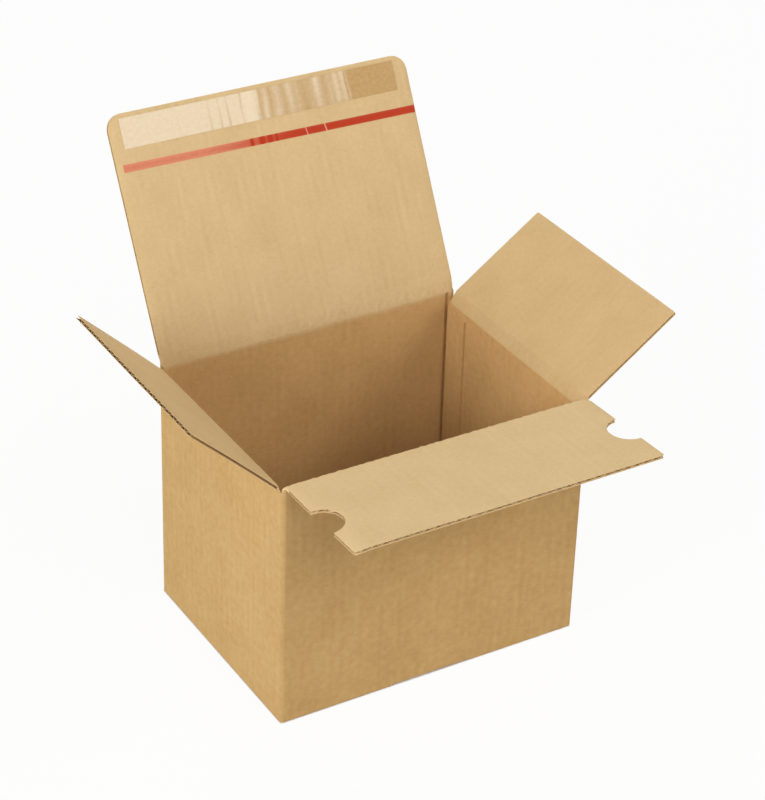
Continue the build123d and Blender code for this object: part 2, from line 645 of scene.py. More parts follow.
@dataclass(frozen=True)
class SiliconedFilm(Finish):
    """Siliconised polyethylene release film, blown and slit, laid on contact adhesive.

    It gives the eye a glossy sheet that is clear and brown where it sticks to the adhesive, and pale
    and milky where it has lifted off; the pale colour also holds a painted reflection of the lamps.
    """

    name: str = "siliconised_release_film"
    lifted: str = "#EAD8B9"
    stuck: str = "#B78F4E"
    haze_size: float = 2.2
    haze_strength: float = 0.35
    roughness: float = 0.42
    refraction: float = 1.51
    specular: float = 0.35

    def surface(self, tree: bpy.types.NodeTree) -> bpy.types.Node:
        """Add the milky and the clear film, with a slight haze between them.

        Args:
            tree: The material's nodes.

        Returns:
            The shader of the film.
        """
        # The share holds the film's lift and a painted reflection of the lamps.
        lift = add_node(tree, "ShaderNodeAttribute", {"attribute_name": WHITENING_AND_HIGHLIGHT_SHARE})
        place = add_node(tree, "ShaderNodeUVMap", {"uv_map": BLANK_MAP})
        haze = add_node(
            tree,
            "ShaderNodeTexNoise",
            {"Scale": 1.0 / (self.haze_size * MM), "Detail": 2.0},
            {"Vector": place.outputs["UV"]},
        )
        offset = -CLOUD_MIDDLE * self.haze_strength
        shift = add_node(
            tree,
            "ShaderNodeMath",
            {"operation": "MULTIPLY_ADD", 1: self.haze_strength, 2: offset},
            {0: haze.outputs[0]},
        )
        share = add_node(
            tree,
            "ShaderNodeMath",
            {"operation": "ADD", "use_clamp": True},
            {0: lift.outputs["Fac"], 1: shift.outputs[0]},
        )
        colour = add_node(
            tree,
            "ShaderNodeMix",
            {"data_type": "RGBA", 6: linear(self.stuck), 7: linear(self.lifted)},
            {0: share.outputs[0]},
        )
        return add_node(
            tree,
            "ShaderNodeBsdfPrincipled",
            {"Roughness": self.roughness, "IOR": self.refraction, "Specular IOR Level": self.specular},
            {"Base Color": colour.outputs[2]},
        )


@dataclass(frozen=True)
class ContactAdhesive(Finish):
    """Hot-melt contact adhesive, coated from a slot nozzle in fine ribs.

    It gives the eye a honey-coloured, slightly shiny band. Sizes are in millimetres.
    """

    name: str = "hot_melt_adhesive"
    colour: str = "#C8A468"
    rib_pitch: float = 1.0
    rib_height: float = 0.05
    roughness: float = 0.4
    refraction: float = 1.48

    def surface(self, tree: bpy.types.NodeTree) -> bpy.types.Node:
        """Add the ribbed adhesive.

        Args:
            tree: The material's nodes.

        Returns:
            The shader of the adhesive.
        """
        place = add_node(tree, "ShaderNodeUVMap", {"uv_map": BLANK_MAP})
        ribs = add_node(
            tree,
            "ShaderNodeTexWave",
            {"bands_direction": "Y", "Scale": WAVE_PERIOD / (self.rib_pitch * MM)},
            {"Vector": place.outputs["UV"]},
        )
        bump = add_node(
            tree,
            "ShaderNodeBump",
            {"Strength": 1.0, "Distance": self.rib_height * MM},
            {"Height": ribs.outputs[1]},
        )
        return add_node(
            tree,
            "ShaderNodeBsdfPrincipled",
            {"Base Color": linear(self.colour), "Roughness": self.roughness, "IOR": self.refraction},
            {"Normal": bump.outputs[0]},
        )


@dataclass(frozen=True)
class TearTapeFilm(Finish):
    """Polypropylene tear tape, drawn and printed red on the back.

    It gives the eye a strong satin red, faded to salmon at one end, with pale nicks where the film
    has been creased, and pale rims that are a painted highlight.
    """

    name: str = "printed_tear_tape"
    fresh: str = "#BA3512"
    faded: str = "#DE8D6E"
    nick: str = "#EFB7A2"
    roughness: float = 0.38
    refraction: float = 1.49
    specular: float = 0.1

    def surface(self, tree: bpy.types.NodeTree) -> bpy.types.Node:
        """Add the print, its fading and its nicks.

        Args:
            tree: The material's nodes.

        Returns:
            The shader of the tape.
        """
        # The fade share also holds a painted highlight along the rims.
        fade = add_node(tree, "ShaderNodeAttribute", {"attribute_name": WHITENING_AND_HIGHLIGHT_SHARE})
        wear = add_node(tree, "ShaderNodeAttribute", {"attribute_name": WEAR_SHARE})
        print_colour = add_node(
            tree,
            "ShaderNodeMix",
            {"data_type": "RGBA", 6: linear(self.fresh), 7: linear(self.faded)},
            {0: fade.outputs["Fac"]},
        )
        colour = add_node(
            tree,
            "ShaderNodeMix",
            {"data_type": "RGBA", 7: linear(self.nick)},
            {0: wear.outputs["Fac"], 6: print_colour.outputs[2]},
        )
        return add_node(
            tree,
            "ShaderNodeBsdfPrincipled",
            {"Roughness": self.roughness, "IOR": self.refraction, "Specular IOR Level": self.specular},
            {"Base Color": colour.outputs[2]},
        )


@dataclass(frozen=True)
class FloorPaper(Finish):
    """Background paper, coated matt white and rolled out flat.

    It gives the eye a plain white ground that still takes the soft shadow of the box. The glow is
    the share of plain white in what the camera sees of it.
    """

    glow: float
    colour: str = "#F6F5F3"
    roughness: float = 0.9
    specular: float = 0.1

    def surface(self, tree: bpy.types.NodeTree) -> bpy.types.Node:
        """Add the paper and its glow.

        Args:
            tree: The material's nodes.

        Returns:
            The shader of the paper.
        """
        paper = add_node(
            tree,
            "ShaderNodeBsdfPrincipled",
            {
                "Base Color": linear(self.colour),
                "Roughness": self.roughness,
                "Specular IOR Level": self.specular,
            },
        )
        white = add_node(tree, "ShaderNodeEmission", {"Strength": 1.0})
        path = add_node(tree, "ShaderNodeLightPath")
        seen = add_node(
            tree,
            "ShaderNodeMath",
            {"operation": "MULTIPLY", 1: self.glow},
            {0: path.outputs["Is Camera Ray"]},
        )
        return add_node(
            tree,
            "ShaderNodeMixShader",
            links={0: seen.outputs[0], 1: paper.outputs[0], 2: white.outputs[0]},
        )


@dataclass(frozen=True)
class Crease:
    """The line that a flap turns about, read from the joint of the frame."""

    origin: Vector
    along: Vector
    outward: Vector
    angle: float
    flap_body: str

    @classmethod
    def of(cls, joint_name: str) -> "Crease":
        """Read a crease from its joint.

        Args:
            joint_name: The joint's name.

        Returns:
            The crease, with the angle in radians at which the flap stands open past upright.
        """
        joint = next(j for j in frame["joints"] if j["name"] == joint_name)
        along = Vector(joint["axis"])
        # A flap's lower limit is the shut box, which lies a right angle inward from upright.
        angle = math.radians(-joint["range_deg"][0] - 90.0)
        return cls(Vector(joint["pos_m"]), along, along.cross(Vector((0, 0, 1))), angle, joint["child"])

    def place(self, board: np.ndarray, share: np.ndarray | float = 1.0) -> np.ndarray:
        """Move points from the flat board to where they lie at rest.

        Args:
            board: Points in millimetres: along the crease, up from it and out of the box.
            share: How much of the flap's opening each point follows.

        Returns:
            The points in metres in the frame of the object.
        """
        turn = self.angle * np.asarray(share)
        out = board[:, 1] * np.sin(turn) + board[:, 2] * np.cos(turn)
        up = board[:, 1] * np.cos(turn) - board[:, 2] * np.sin(turn)
        points = np.outer(board[:, 0], self.along) + np.outer(out, self.outward)
        points[:, 2] += up
        return points * MM + np.array(self.origin)


@dataclass(frozen=True)
class Curl:
    """A strip at one end of a flap that is bent outward, in millimetres.

    Its full drop would lie a little past the end.
    """

    end: int
    drop: float
    width: float
    rise: float
    past_end: float = 2.0


@dataclass
class BoardForm:
    """How a flap departs from flat, in millimetres: bow, twist, curls and waviness."""

    half_length: float
    depth: float
    bow: float = 0.0
    twist: float = 0.0
    curls: tuple[Curl, ...] = ()
    wave: float = 0.07
    # Two slanting waves cross, each with its reach along the crease and away from it.
    first_wave: tuple[float, float] = (17.0, 41.0)
    second_wave: tuple[float, float] = (53.0, 23.0)
    wave_rise: float = 20.0
    # The washboard of the flutes shows in the liners, past these shares of half the thickness.
    washboard: float = 0.022
    liner_shares: tuple[float, float] = (0.6, 0.7)
    edge_crush: float = 0.3
    crush_reach: float = 2.0

    def sag(self, s: np.ndarray, v: np.ndarray) -> np.ndarray:
        """Give how far the board's middle stands outward of its flat plane.

        Args:
            s: Distance along the crease.
            v: Distance from the crease.

        Returns:
            The offset, positive towards the outer face.
        """
        share = np.clip(v / self.depth, 0.0, 1.0)
        offset = self.bow * np.sin(math.pi * share) + self.twist * share * s / self.half_length
        for curl in self.curls:
            start, end = self.half_length - curl.width, self.half_length + curl.past_end
            across = smooth_step(curl.end * s, start, end)
            offset += curl.drop * across * smooth_step(v, PLATE_START, curl.rise)
        first_s, first_v = self.first_wave
        second_s, second_v = self.second_wave
        ripple = np.sin(s / first_s + v / first_v) * np.sin(v / second_v + s / second_s + self.depth)
        return offset + self.wave * ripple * smooth_step(v, PLATE_START, PLATE_START + self.wave_rise)

    def shape(self, board: np.ndarray, rim_distance: np.ndarray) -> np.ndarray:
        """Bend flat board to its form.

        Args:
            board: Points of the flat board.
            rim_distance: How far each point lies from the nearest cut edge.

        Returns:
            The points of the bent board.
        """
        s, v, w = board.T
        middle = (OUTER_FACE + INNER_FACE) / 2
        side = (w - middle) / (BOARD_THICKNESS / 2)
        crush = 1.0 - self.edge_crush * np.exp(-rim_distance / self.crush_reach)
        hollow = self.washboard * np.cos(2 * math.pi * s / FLUTE_PITCH)
        hollow *= smooth_step(np.abs(side), *self.liner_shares)
        shaped = middle + (w - middle) * crush + hollow + self.sag(s, v)
        return np.stack([s, v, shaped], axis=1)


def add_object(name: str, data: bpy.types.ID) -> bpy.types.Object:
    """Put data into the scene as an object of its own.

    Args:
        name: The object's name.
        data: Its mesh, lamp or camera.

    Returns:
        The object.
    """
    thing = bpy.data.objects.new(name, data)
    bpy.context.scene.collection.objects.link(thing)
    return thing


def grid_sheet(
    name: str, s: np.ndarray, v: np.ndarray, low: np.ndarray, high: np.ndarray, slots: tuple[int, int, int]
) -> bpy.types.Object:
    """Make a closed sheet over a grid.

    Args:
        name: The object's name.
        s: Grid lines along the crease.
        v: Grid lines away from the crease.
        low: Height of the inner side at each grid point.
        high: Height of the outer side at each grid point.
        slots: Material slots of the inner side, the outer side and the rim.

    Returns:
        The sheet as an object of its own, in millimetres.
    """
    columns, rows = len(s), len(v)
    across, down = np.meshgrid(s, v, indexing="ij")
    flat = [np.stack([across, down, height], axis=-1).reshape(-1, 3) for height in (high, low)]
    index = np.arange(columns * rows).reshape(columns, rows)
    below = index + columns * rows
    top = np.stack([index[:-1, :-1], index[1:, :-1], index[1:, 1:], index[:-1, 1:]], axis=-1)
    bottom = np.stack([below[:-1, :-1], below[:-1, 1:], below[1:, 1:], below[1:, :-1]], axis=-1)
    rim = []
    edges = (
        (index[:, 0], below[:, 0], False),
        (index[:, -1], below[:, -1], True),
        (index[0, :], below[0, :], True),
        (index[-1, :], below[-1, :], False),
    )
    for upper, lower, turned in edges:
        strip = np.stack([upper[:-1], lower[:-1], lower[1:], upper[1:]], axis=-1)
        rim.append(strip[:, ::-1] if turned else strip)
    groups = [top.reshape(-1, 4), bottom.reshape(-1, 4), np.concatenate(rim)]
    mesh = bpy.data.meshes.new(name)
    mesh.from_pydata(np.concatenate(flat).tolist(), [], np.concatenate(groups).tolist())
    inner, outer, cut = slots
    kinds = np.repeat([outer, inner, cut], [len(group) for group in groups])
    # Empty slots, so that each face keeps its slot when the sheet is trimmed.
    for _ in range(max(slots) + 1):
        mesh.materials.append(None)
    mesh.polygons.foreach_set("material_index", kinds.astype(np.int32))
    return add_object(name, mesh)


def take_points(mesh: bpy.types.Mesh) -> np.ndarray:
    """Read a mesh's points.

    Args:
        mesh: The mesh.

    Returns:
        One row of three numbers for each vertex.
    """
    points = np.empty(len(mesh.vertices) * 3)
    mesh.vertices.foreach_get("co", points)
    return points.reshape(-1, 3)


def finish_mesh(
    piece: bpy.types.Object,
    board: np.ndarray,
    placed: np.ndarray,
    materials: list[bpy.types.Material],
    sharp_angle: float = 38.0,
) -> None:
    """Give a piece its map of the flat blank, its final points, its shading and its materials.

    Args:
        piece: The piece, whose points are replaced.
        board: Its points on the flat blank, in millimetres.
        placed: Its points in the frame of the object, in metres.
        materials: Its materials in slot order.
        sharp_angle: The angle in degrees past which an edge is drawn sharp.
    """
    mesh = piece.data
    corners = np.empty(len(mesh.loops), np.int32)
    mesh.loops.foreach_get("vertex_index", corners)
    layer = mesh.uv_layers.new(name=BLANK_MAP)
    layer.data.foreach_set("uv", (board[corners, :2] * MM).ravel())
    mesh.vertices.foreach_set("co", placed.ravel())
    mesh.materials.clear()
    for material in materials:
        mesh.materials.append(material)
    mesh.shade_smooth()
    mesh.set_sharp_from_angle(angle=math.radians(sharp_angle))
    mesh.update()


@dataclass
class Outline:
    """Cut outline of a flap: straight sides, rounded corners and part-round notches, in millimetres."""

    half_length: float
    depth: float
    corner_radius: float = 1.2
    least_radius: float = 0.3
    notch_radius: float = 0.0
    notch_reach: float = 0.0
    notch_distance: float = 0.0
    # Steps of a notch, and of a corner whose radius is the full one
    arc_steps: int = 28
    full_arc_radius: float = 12.0
    least_arc_steps: int = 4
    cutter_reach: float = 3.0

    @property
    def notch_centre(self) -> float:
        """The distance of a notch's centre from the middle of the flap."""
        return self.half_length - self.notch_reach + self.notch_radius

    def half(self, inset: float) -> list[tuple[float, float]]:
        """Trace one end of the outline, from the crease to the middle of the outer edge.

        Args:
            inset: How far inside the cut edge the line runs.

        Returns:
            Points on the positive end.
        """
        end = self.half_length - inset
        points = [(end, PLATE_START)]
        if self.notch_radius > 0:
            wide = self.notch_radius + inset
            reach = math.acos((self.notch_centre - end) / wide)
            for step in range(self.arc_steps + 1):
                turn = reach * (1 - 2 * step / self.arc_steps)
                out = self.notch_centre - wide * math.cos(turn)
                points.append((out, self.notch_distance - wide * math.sin(turn)))
        radius = max(self.corner_radius - inset, self.least_radius)
        steps = max(self.least_arc_steps, round(self.arc_steps * radius / self.full_arc_radius))
        for step in range(steps + 1):
            turn = math.pi / 2 * step / steps
            out = end - radius + radius * math.cos(turn)
            points.append((out, self.depth - inset - radius + radius * math.sin(turn)))
        return points

    def points(self, inset: float) -> list[tuple[float, float]]:
        """Trace the whole outline.

        Args:
            inset: How far inside the cut edge the line runs.

        Returns:
            Points in order round the flap.
        """
        one_end = self.half(inset)
        return one_end + [(-s, v) for s, v in reversed(one_end)]

    def rim_distance(self, s: np.ndarray, v: np.ndarray) -> np.ndarray:
        """Give the distance to the nearest cut edge.

        Args:
            s: Distance along the crease.
            v: Distance from the crease.

        Returns:
            The distance from each point.
        """
        nearest = np.minimum(self.half_length - np.abs(s), self.depth - v)
        if self.notch_radius > 0:
            from_centre = np.hypot(np.abs(s) - self.notch_centre, v - self.notch_distance)
            nearest = np.minimum(nearest, from_centre - self.notch_radius)
        return np.clip(nearest, 0.0, None)

    def cutter(self, inset: float, sheet: Sheet) -> bpy.types.Object:
        """Make the solid that the flap's sheets are trimmed to.

        Args:
            inset: How far inside the cut edge the solid ends.
            sheet: The material slot that the trimmed rim gets.

        Returns:
            A prism of the outline.
        """
        flat = self.points(inset)
        count = len(flat)
        levels = (INNER_FACE - self.cutter_reach, OUTER_FACE + self.cutter_reach)
        points = [(s, v, w) for w in levels for s, v in flat]
        faces = [tuple(range(count))[::-1], tuple(range(count, 2 * count))]
        faces += [(i, (i + 1) % count, (i + 1) % count + count, i + count) for i in range(count)]
        mesh = bpy.data.meshes.new("outline_cutter")
        mesh.from_pydata(points, [], faces)
        for _ in Sheet:
            mesh.materials.append(None)
        mesh.polygons.foreach_set("material_index", [sheet.value] * len(faces))
        return add_object("outline_cutter", mesh)


@dataclass
class CorrugatedFlap:
    """A flap of two liners on a wavy medium, cut to its outline, bent to its form and hung at its crease.

    Sizes are in millimetres.
    """

    name: str
    node: str
    crease: Crease
    outline: Outline
    form: BoardForm
    materials: list[bpy.types.Material]
    slot: str = "kraft_board_flaps"
    column_step: float = FLUTE_PITCH / 8
    row_step: float = 5.0
    # Rows close to the outer edge, and how near another row may come to them
    edge_rows: tuple[float, ...] = (0.5, 1.2, 2.2, 3.6)
    row_gap: float = 0.4
    medium_thickness: float = 0.3
    medium_inset: float = 0.4
    glue_overlap: float = 0.03
    spare: float = 1.0

    def lines(self) -> tuple[np.ndarray, np.ndarray]:
        """Set out the grid of the board.

        Returns:
            Grid lines along the crease and away from it, a little past the cut edges.
        """
        reach = self.outline.half_length + self.spare
        columns = round(2 * reach / self.column_step)
        rows = round((self.outline.depth + self.spare - PLATE_START) / self.row_step)
        s = np.linspace(-reach, reach, columns + 1)
        v = np.linspace(PLATE_START, self.outline.depth + self.spare, rows + 1)
        near = self.outline.depth - np.array(self.edge_rows)
        far = v[np.min(np.abs(v[:, None] - near), axis=1) > self.row_gap]
        return s, np.sort(np.concatenate([far, near]))

    def sheets(self) -> list[bpy.types.Object]:
        """Make the flat sheets of the board.

        Returns:
            The outer liner, the medium and the inner liner.
        """
        s, v = self.lines()
        level = np.ones((len(s), len(v)))
        outer_glue = OUTER_FACE - LINER_THICKNESS
        inner_glue = INNER_FACE + LINER_THICKNESS
        middle = (outer_glue + inner_glue) / 2
        swing = (outer_glue - inner_glue - self.medium_thickness) / 2 + self.glue_overlap
        wave = middle + swing * np.cos(2 * math.pi * s / FLUTE_PITCH)
        medium = wave[:, None] * level
        half = self.medium_thickness / 2
        cut, fluting = Sheet.CUT.value, Sheet.FLUTING.value
        outer_slots = (fluting, Sheet.OUTER.value, cut)
        inner_slots = (Sheet.INNER.value, fluting, cut)
        return [
            grid_sheet("outer_liner", s, v, level * outer_glue, level * OUTER_FACE, outer_slots),
            grid_sheet("medium", s, v, medium - half, medium + half, (fluting, fluting, fluting)),
            grid_sheet("inner_liner", s, v, level * INNER_FACE, level * inner_glue, inner_slots),
        ]

    def trimmed(self) -> bpy.types.Mesh:
        """Cut the sheets to the outline and join them.

        Returns:
            One mesh of the flat board in millimetres.
        """
        rim_cutter = self.outline.cutter(0.0, Sheet.CUT)
        medium_cutter = self.outline.cutter(self.medium_inset, Sheet.FLUTING)
        joined = bmesh.new()
        sheets = self.sheets()
        for sheet, cutter in zip(sheets, (rim_cutter, medium_cutter, rim_cutter)):
            trim = sheet.modifiers.new("trim", "BOOLEAN")
            trim.operation = "INTERSECT"
            trim.solver = "EXACT"
            trim.object = cutter
        graph = bpy.context.evaluated_depsgraph_get()
        for sheet in sheets:
            cut_mesh = bpy.data.meshes.new_from_object(sheet.evaluated_get(graph))
            joined.from_mesh(cut_mesh)
            bpy.data.meshes.remove(cut_mesh)
        mesh = bpy.data.meshes.new(self.name)
        joined.to_mesh(mesh)
        joined.free()
        for helper in (*sheets, rim_cutter, medium_cutter):
            helper_mesh = helper.data
            bpy.data.objects.remove(helper)
            bpy.data.meshes.remove(helper_mesh)
        return mesh

    def build(self) -> bpy.types.Object:
        """Make the flap in place of its plain solid.

        Returns:
            The flap, riding on its body.
        """
        mesh = self.trimmed()
        piece = add_object(self.name, mesh)
        board = take_points(mesh)
        rim = self.outline.rim_distance(board[:, 0], board[:, 1])
        placed = self.crease.place(self.form.shape(board, rim))
        finish_mesh(piece, board, placed, self.materials)
        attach(piece, self.crease.flap_body)
        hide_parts(self.node)
        return piece


@dataclass
class CreaseBand:
    """Crushed band of board where a flap folds, from the top of its wall to the start of the flap.

    Sizes are in millimetres. Distances from the crease are negative down the wall.
    """

    name: str
    crease: Crease
    wall_half_length: float
    flap_half_length: float
    wall_end: float
    materials: list[bpy.types.Material]
    wall_reach: float = 3.3
    flap_reach: float = 3.8
    # Ends of the band that stay in line with the wall and with the flap
    wall_hold: float = 0.3
    flap_hold: float = 0.4
    # Where the band's length changes from that of the wall to that of the flap
    fold_zone: tuple[float, float] = (-0.5, 1.5)
    sunk: float = 0.05
    # Only along its fold line does the outer face come up to the faces beside it.
    fold_line: float = 0.25
    fold_reach: tuple[float, float] = (0.6, 1.0)
    crush_depth: float = 0.65
    crumple: float = 0.15
    coarse_crumple: tuple[float, float, float] = (1.1, 1.6, 5.3)
    fine_crumple: tuple[float, float, float] = (0.62, 2.2, 3.1)
    fine_share: float = 0.8
    # The ends are nipped flat, more from inside than from outside.
    end_nip: float = 0.5
    nip_reach: float = 1.6
    inner_nip: float = 0.7
    outer_nip: float = 0.3
    # The walls' rounded corner, and where the band leaves it
    corner_radius: float = 2.4
    corner_share: float = 0.98
    corner_fade: tuple[float, float] = (-0.6, 2.4)
    least_thickness: float = 0.3
    column_step: float = 0.8
    rows: int = 22
    slot: str = "kraft_board_flaps"

    def relief(self, place: np.ndarray, away: np.ndarray) -> np.ndarray:
        """Crumple the crushed paper, coarsely and finely.

        Args:
            place: Distance along the crease.
            away: Distance from the crease.

        Returns:
            The relief, from about -2 to 2.
        """
        short, steep, long = self.coarse_crumple
        coarse = np.sin(place / short + away / steep) * np.sin(place / long + 1.0)
        short, steep, long = self.fine_crumple
        fine = self.fine_share * np.sin(place / short - away) * np.sin(place / long - away / steep)
        return coarse + fine

    def faces(self, place: np.ndarray, away: np.ndarray, half: np.ndarray) -> tuple[np.ndarray, np.ndarray]:
        """Give the heights of the band's two faces.

        Args:
            place: Distance along the crease.
            away: Distance from the crease.
            half: Half the band's length at that distance.

        Returns:
            The heights of the inner face and of the outer face.
        """
        middle = (self.flap_reach - self.wall_reach) / 2
        width = self.flap_reach + self.wall_reach
        pressed = np.cos(np.clip((away - middle) / width, -0.5, 0.5) * math.pi)
        crush = self.crush_depth + self.crumple * self.relief(place, away)
        inner = INNER_FACE + self.sunk + pressed**2 * crush
        outer = OUTER_FACE - self.sunk * smooth_step(np.abs(away - self.fold_line), *self.fold_reach)
        nip = self.end_nip * np.exp(-np.clip(np.abs(half) - np.abs(place), 0.0, None) / self.nip_reach)
        inner = inner + (OUTER_FACE - inner) * nip * self.inner_nip
        outer = outer - (outer - INNER_FACE) * nip * self.outer_nip
        # Near its ends the band follows the rounded corner of the walls.
        radius = self.corner_radius
        turned = np.clip(np.abs(place) - self.wall_end + radius, 0.0, self.corner_share * radius)
        setback = (radius - np.sqrt(radius**2 - turned**2)) * (1.0 - smooth_step(away, *self.corner_fade))
        return inner, np.maximum(outer - setback, inner + self.least_thickness)

    def build(self) -> bpy.types.Object:
        """Make the band.

        Returns:
            The band, which bends between the walls and its flap.
        """
        columns = round(2 * self.flap_half_length / self.column_step)
        s = np.linspace(-1.0, 1.0, columns + 1)
        v = np.linspace(-self.wall_reach, self.flap_reach, self.rows + 1)
        level = np.ones((len(s), len(v)))
        slots = (Sheet.INNER.value, Sheet.OUTER.value, Sheet.CUT.value)
        piece = grid_sheet(self.name, s, v, level * INNER_FACE, level * OUTER_FACE, slots)
        along, away, side = take_points(piece.data).T
        half = self.wall_half_length
        half = half + (self.flap_half_length - half) * smooth_step(away, *self.fold_zone)
        place = along * half
        inner, outer = self.faces(place, away, half)
        flat = np.stack([place, away, np.where(side < 0, inner, outer)], axis=1)
        share = smooth_step(away, self.wall_hold - self.wall_reach, self.flap_reach - self.flap_hold)
        finish_mesh(piece, flat, self.crease.place(flat, share), self.materials)
        ends = np.array([[0.0, -self.wall_reach, 0.0], [0.0, self.flap_reach, 0.0]])
        start, end = self.crease.place(ends, np.array([0.0, 1.0]))
        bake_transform(piece)
        return piece


@dataclass(frozen=True)
class Wrinkle:
    """A ridge across the release liner, in millimetres from its left end."""

    place: float
    width: float
    height: float
    lift: float


@dataclass
class ClosingStrip:
    """Contact adhesive, wrinkled release liner and tear tape on the inner face of the lid.

    Sizes are in millimetres. Steps count the grid of each band, along the lid and across it.
    """

    crease: Crease
    form: BoardForm
    lid_depth: float
    lid_half_length: float

    # The adhesive, hidden under the liner that overhangs it
    adhesive_thickness: float = 0.12
    adhesive_steps: tuple[int, int] = (60, 4)
    liner_overhang: float = 0.5

    # The release liner
    liner_width: float = 18.0
    edge_distance: float = 2.8
    left_margin: float = 7.5
    right_margin: float = 9.5
    film_thickness: float = 0.08
    liner_steps: tuple[int, int] = (460, 14)

    # It has come off at its left, clings in stripes further on, and sticks flat at its right. The pale share
    # also paints the lamps' reflection.
    lifted_length: float = 89.5
    lifted_blur: float = 0.8
    lifted_share: float = 0.6
    lifted_height: float = 0.06
    striped_length: float = 151.0
    striped_blur: float = 1.0
    striped_share: float = 0.24
    stuck_share: float = 0.06
    stuck_height: float = 0.05
    least_height: float = 0.02

    # Its wrinkles wander a little across its width and fade towards one edge or the other.
    wander: float = 0.4
    wander_lengths: tuple[float, float] = (9.0, 21.0)
    wander_slant: float = 5.0
    wrinkle_scale: float = 0.55
    wrinkle_fade: float = 0.25
    fade_slant: float = 3.0
    ripple: float = 0.03
    ripple_lengths: tuple[float, float] = (1.3, 4.7)
    ripple_slant: float = 2.0
    wrinkles: tuple[Wrinkle, ...] = (
        Wrinkle(56.8, 1.5, 0.2, -0.24),
        Wrinkle(63.4, 1.3, 0.3, -0.36),
        Wrinkle(68.9, 1.3, 0.3, -0.4),
        Wrinkle(78.1, 1.4, 0.25, -0.34),
        Wrinkle(83.4, 6.5, 0.2, 0.14),
        Wrinkle(88.4, 1.5, 0.3, -0.3),
        Wrinkle(94.0, 3.4, 0.3, 0.42),
        Wrinkle(97.4, 1.6, 0.1, -0.14),
        Wrinkle(101.8, 5.0, 0.3, 0.38),
        Wrinkle(106.6, 1.8, 0.1, -0.1),
        Wrinkle(110.5, 4.2, 0.3, 0.32),
        Wrinkle(115.6, 2.2, 0.15, 0.14),
        Wrinkle(120.5, 6.0, 0.05, -0.2),
        Wrinkle(129.1, 4.2, 0.4, 0.44),
        Wrinkle(134.2, 2.6, 0.1, -0.16),
        Wrinkle(138.2, 2.2, 0.15, 0.12),
        Wrinkle(142.4, 3.6, 0.3, 0.36),
        Wrinkle(147.2, 3.2, 0.4, 0.46),
        Wrinkle(149.0, 0.9, 0.1, -0.35),
    )

    # The tear tape, slightly crowned and askew
    tape_width: float = 4.6
    tape_thickness: float = 0.2
    tape_crown: float = 0.45
    tape_edge_distance: float = 32.8
    tape_left_margin: float = 4.2
    tape_right_margin: float = 0.6
    tape_skew: float = 1.2
    tape_steps: tuple[int, int] = (640, 8)

    # Its print fades towards the left, more in its grain and along its rims; its rims are also paler as a
    # painted highlight.
    fade_start: float = 45.0
    fade_end: float = 122.0
    fade_base: float = 0.65
    fade_grain: float = 0.28
    fade_rim: float = 0.28
    print_grain: float = 0.03
    painted_rim_highlight: float = 0.3
    grain_seed: int = 11

    # Places and widths where its red is still fresh, and where it has been nicked
    smudges: tuple[tuple[float, float], ...] = ((87.5, 2.2), (94.2, 3.2), (99.5, 2.4), (104.0, 1.2))
    smudge_strength: float = 0.7
    nicks: tuple[tuple[float, float], ...] = ((124.2, 0.6), (137.1, 0.8))
    nick_strength: float = 0.8
    nick_slant: float = 0.4

    @property
    def liner_top(self) -> float:
        """The distance of the liner's upper edge from the crease."""
        return self.lid_depth - self.edge_distance

    def band(
        self, name: str, margins: tuple[float, float], edges: tuple[float, float], steps: tuple[int, int]
    ) -> tuple[bpy.types.Object, np.ndarray, np.ndarray]:
        """Make a flat band along the lid.

        Args:
            name: The object's name.
            margins: How far the band ends from the lid's left end and from its right end.
            edges: Its lower and upper edge, as distances from the crease.
            steps: How many grid steps it has along and across.

        Returns:
            The band, its points with the board side at height 0, and which of them lie on its free
            side.
        """
        left, right = margins
        # The lid's own direction along the crease runs from right to left.
        s = np.linspace(right - self.lid_half_length, self.lid_half_length - left, steps[0] + 1)
        v = np.linspace(*edges, steps[1] + 1)
        level = np.ones((len(s), len(v)))
        piece = grid_sheet(name, s, v, -level, 0 * level, (0, 0, 0))
        points = take_points(piece.data)
        return piece, points, points[:, 2] < 0

    def lay(
        self, piece: bpy.types.Object, board: np.ndarray, material: bpy.types.Material, skew: float = 0.0
    ) -> None:
        """Lay a band on the lid's inner face and finish it.

        Args:
            piece: The band.
            board: Its points, with heights from the flat inner face.
            material: Its material.
            skew: How far its left end lies towards the outer edge of the lid.
        """
        shaped = board + np.array([0.0, 0.0, INNER_FACE])
        shaped[:, 1] += skew * board[:, 0] / self.lid_half_length
        shaped[:, 2] += self.form.sag(board[:, 0], board[:, 1])
        finish_mesh(piece, board, self.crease.place(shaped), [material])
        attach(piece, self.crease.flap_body)

    def attribute(self, piece: bpy.types.Object, name: str, values: np.ndarray) -> None:
        """Store a share at each vertex for the material to read.

        Args:
            piece: The piece.
            name: The attribute's name.
            values: One value for each vertex, cut off below 0 and above 1.
        """
        layer = piece.data.attributes.new(name, "FLOAT", "POINT")
        layer.data.foreach_set("value", np.clip(values, 0.0, 1.0).astype(np.float32))

    def build_adhesive(self) -> bpy.types.Object:
        """Make the adhesive band under the liner.

        Returns:
            The adhesive.
        """
        inset = self.liner_overhang
        piece, board, free = self.band(
            "contact_adhesive_band",
            (self.left_margin + inset, self.right_margin + inset),
            (self.liner_top - self.liner_width + inset, self.liner_top - inset),
            self.adhesive_steps,
        )
        board[:, 2] = np.where(free, -self.adhesive_thickness, 0.0)
        self.lay(piece, board, ContactAdhesive().build())
        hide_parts("adhesive_strip")
        return piece

